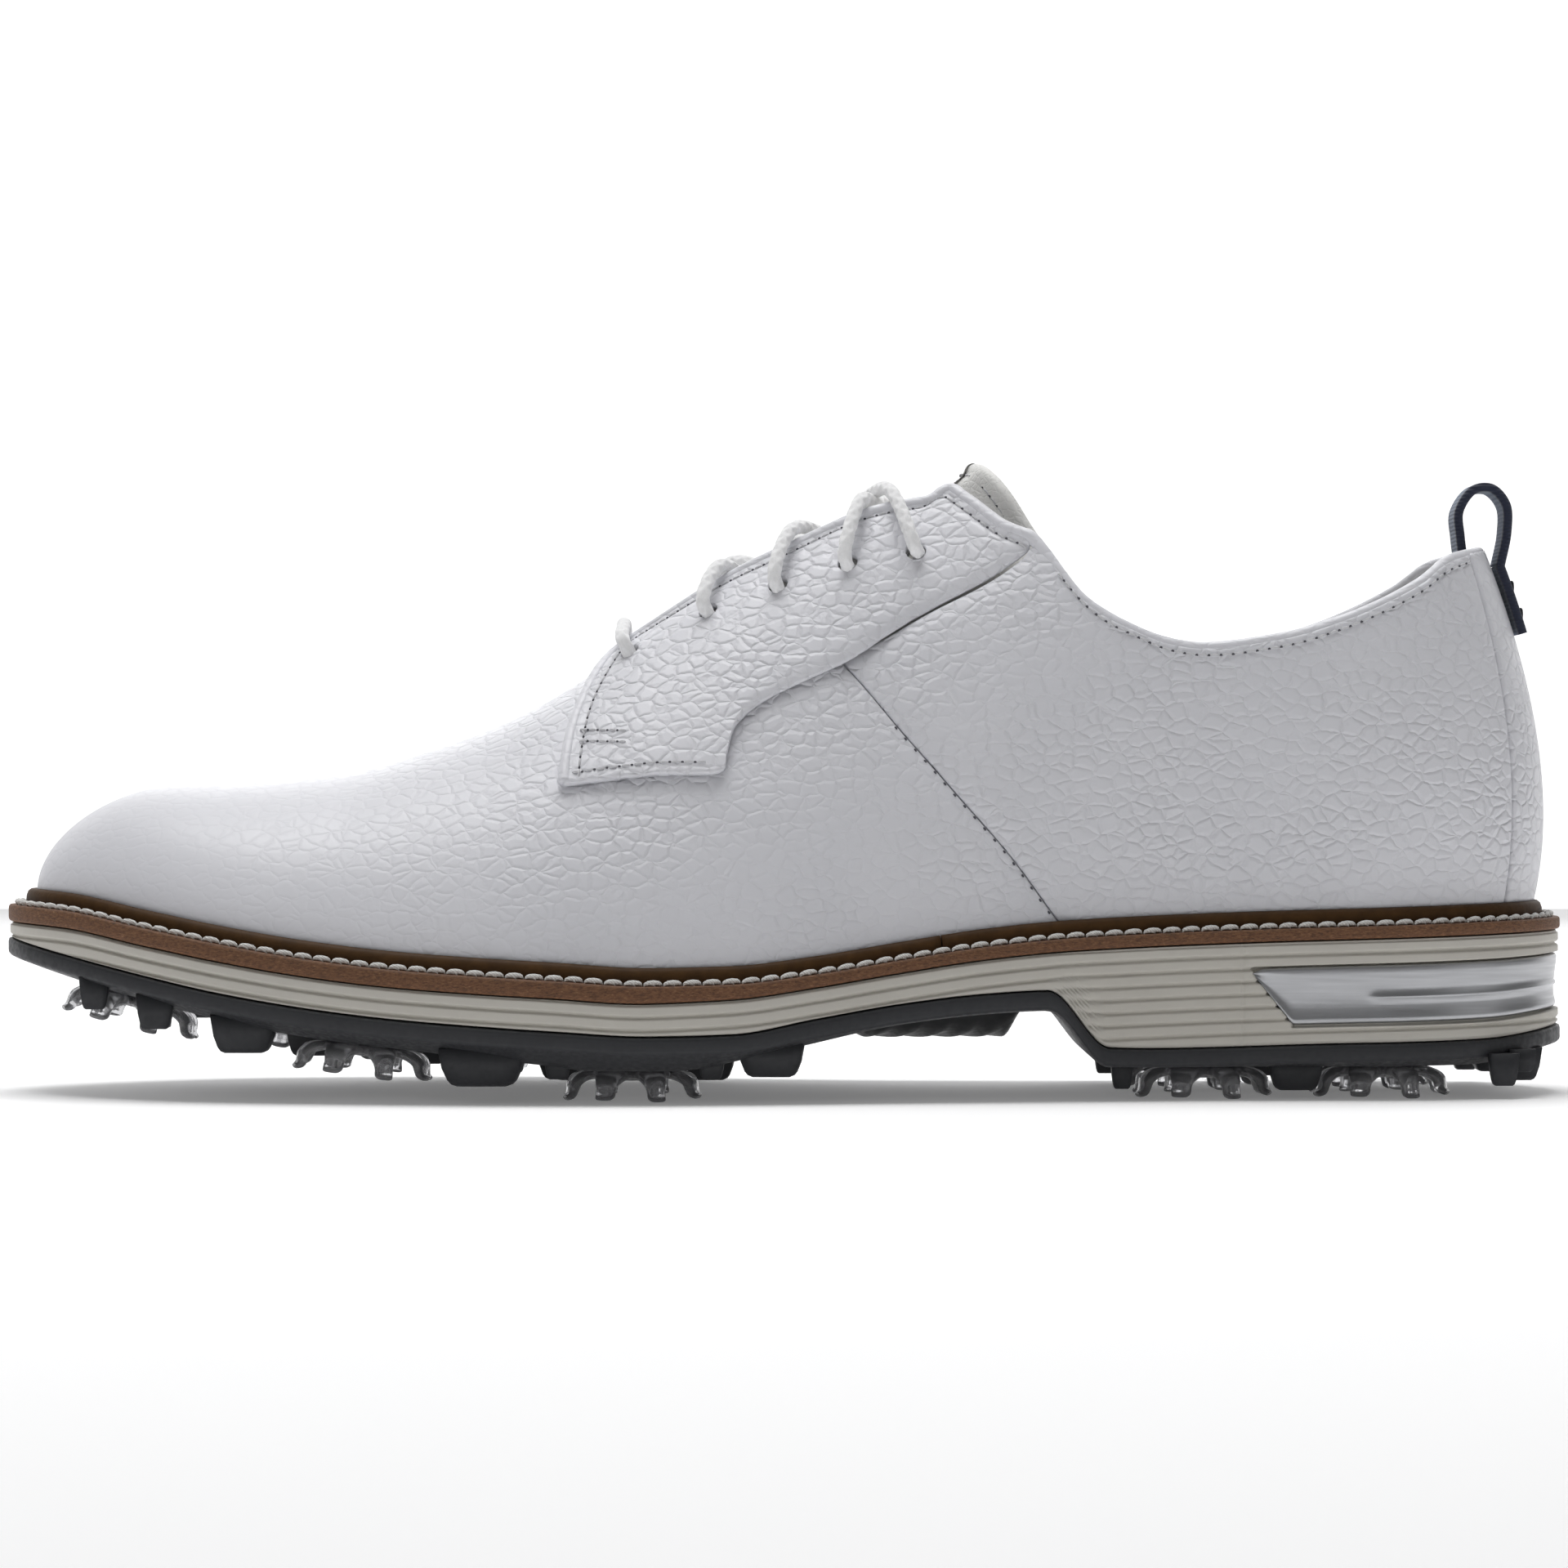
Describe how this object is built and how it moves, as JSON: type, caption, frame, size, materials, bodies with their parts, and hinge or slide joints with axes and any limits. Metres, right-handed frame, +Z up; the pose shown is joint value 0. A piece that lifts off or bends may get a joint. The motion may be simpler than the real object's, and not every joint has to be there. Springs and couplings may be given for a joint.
{
  "type": "golf shoe",
  "caption": "Lace-up leather golf shoe for the left foot: welted upper with lapped lace facing, padded collar, heel pull loop, layered sole and twist-out cleats.",
  "frame": {"origin": "middle of the sole's length and width, on the ground that the cleat tips stand on", "axes": "+X from toe to heel, +Y to the medial (inner) side, +Z up"},
  "size_m": [0.305, 0.1066, 0.1255],
  "materials": {
    "white_leather": "smooth and pebbled full-grain leather",
    "lining_leather": "soft glove lining",
    "tongue_cover": "padded tongue cover",
    "outsole_rubber": "matt moulded",
    "midsole_foam": "moulded foam with fine grooves",
    "welt_board": "speckled leatherboard edge",
    "rand_board": "dark waxed leather",
    "thread": "twisted waxed thread",
    "insole": "fibre board",
    "cork": "granulated cork",
    "spring_steel": "cold rolled",
    "heel_panel_satin": "satin silver film",
    "cleat_clear": "smoky translucent polyurethane",
    "socket_black": "moulded nylon",
    "lace_cotton": "round braid",
    "loop_webbing": "narrow woven webbing",
    "padding": "open cell foam"
  },
  "bodies": {
    "shoe": {"outsole": "outsole_rubber", "midsole": "midsole_foam", "heel_panel": "heel_panel_satin", "welt": "welt_board", "rand_forefoot": "rand_board", "rand_heel": "rand_board", "welt_thread": "thread", "insole_board": "insole", "cork_filler": "cork", "shank": "spring_steel", "arch_bridge": "socket_black", "footbed": "lining_leather", "vamp": "white_leather", "toe_puff": "insole", "vamp_lining": "lining_leather", "quarter_lateral": "white_leather", "quarter_medial": "white_leather", "backstay": "white_leather", "facing_lateral": "white_leather", "facing_medial": "white_leather", "facing_lining_lateral": "lining_leather", "facing_lining_medial": "lining_leather", "heel_counter": "insole", "collar_foam": "padding", "quarter_lining": "lining_leather", "collar_binding": "white_leather", "lace": "lace_cotton", "loop_tab": "loop_webbing", "socket_toe_lateral": "socket_black", "socket_front_lateral": "socket_black", "socket_ball_lateral": "socket_black", "socket_front_medial": "socket_black", "socket_ball_medial": "socket_black", "socket_heel_front_lateral": "socket_black", "socket_heel_back_lateral": "socket_black", "socket_heel_front_medial": "socket_black", "socket_heel_back_medial": "socket_black"},
    "tongue_body": {"tongue": "tongue_cover"},
    "pull_loop_body": {"pull_loop": "loop_webbing"},
    "cleat_body_toe_lateral": {"cleat_toe_lateral": "cleat_clear"},
    "cleat_body_front_lateral": {"cleat_front_lateral": "cleat_clear"},
    "cleat_body_ball_lateral": {"cleat_ball_lateral": "cleat_clear"},
    "cleat_body_front_medial": {"cleat_front_medial": "cleat_clear"},
    "cleat_body_ball_medial": {"cleat_ball_medial": "cleat_clear"},
    "cleat_body_heel_front_lateral": {"cleat_heel_front_lateral": "cleat_clear"},
    "cleat_body_heel_back_lateral": {"cleat_heel_back_lateral": "cleat_clear"},
    "cleat_body_heel_front_medial": {"cleat_heel_front_medial": "cleat_clear"},
    "cleat_body_heel_back_medial": {"cleat_heel_back_medial": "cleat_clear"}
  },
  "joints": [
    {"name": "tongue_bend", "type": "hinge", "parent": "shoe", "child": "tongue_body", "pos_m": [-0.038, 0.00204, 0.0715], "axis": [0, 1, 0], "range_deg": [0, 5], "stiffness_Nm_per_rad": 0.6},
    {"name": "pull_loop_bend", "type": "hinge", "parent": "shoe", "child": "pull_loop_body", "pos_m": [0.1412, 0.00204, 0.103], "axis": [0, 1, 0], "range_deg": [-10, 10], "stiffness_Nm_per_rad": 0.02},
    {"name": "turn_toe_lateral", "type": "hinge", "parent": "shoe", "child": "cleat_body_toe_lateral", "pos_m": [-0.12566, -0.01296, 0.01961], "axis": [0.2378, 0, 0.9713], "range_deg": [0, 90]},
    {"name": "turn_front_lateral", "type": "hinge", "parent": "shoe", "child": "cleat_body_front_lateral", "pos_m": [-0.07991, -0.03096, 0.011], "axis": [0.1104, 0, 0.9939], "range_deg": [0, 90]},
    {"name": "turn_ball_lateral", "type": "hinge", "parent": "shoe", "child": "cleat_body_ball_lateral", "pos_m": [-0.02898, -0.02896, 0.0062], "axis": [0, 0, 1], "range_deg": [0, 90]},
    {"name": "turn_front_medial", "type": "hinge", "parent": "shoe", "child": "cleat_body_front_medial", "pos_m": [-0.09455, 0.02604, 0.01287], "axis": [0.1605, 0, 0.987], "range_deg": [0, 90]},
    {"name": "turn_ball_medial", "type": "hinge", "parent": "shoe", "child": "cleat_body_ball_medial", "pos_m": [-0.0488, 0.03204, 0.00766], "axis": [0.1045, 0, 0.9945], "range_deg": [0, 90]},
    {"name": "turn_heel_front_lateral", "type": "hinge", "parent": "shoe", "child": "cleat_body_heel_front_lateral", "pos_m": [0.08082, -0.01796, 0.0062], "axis": [0, 0, 1], "range_deg": [0, 90]},
    {"name": "turn_heel_back_lateral", "type": "hinge", "parent": "shoe", "child": "cleat_body_heel_back_lateral", "pos_m": [0.11529, -0.01596, 0.0062], "axis": [0, 0, 1], "range_deg": [0, 90]},
    {"name": "turn_heel_front_medial", "type": "hinge", "parent": "shoe", "child": "cleat_body_heel_front_medial", "pos_m": [0.08082, 0.02104, 0.0062], "axis": [0, 0, 1], "range_deg": [0, 90]},
    {"name": "turn_heel_back_medial", "type": "hinge", "parent": "shoe", "child": "cleat_body_heel_back_medial", "pos_m": [0.11529, 0.02004, 0.0062], "axis": [0, 0, 1], "range_deg": [0, 90]}
  ]
}
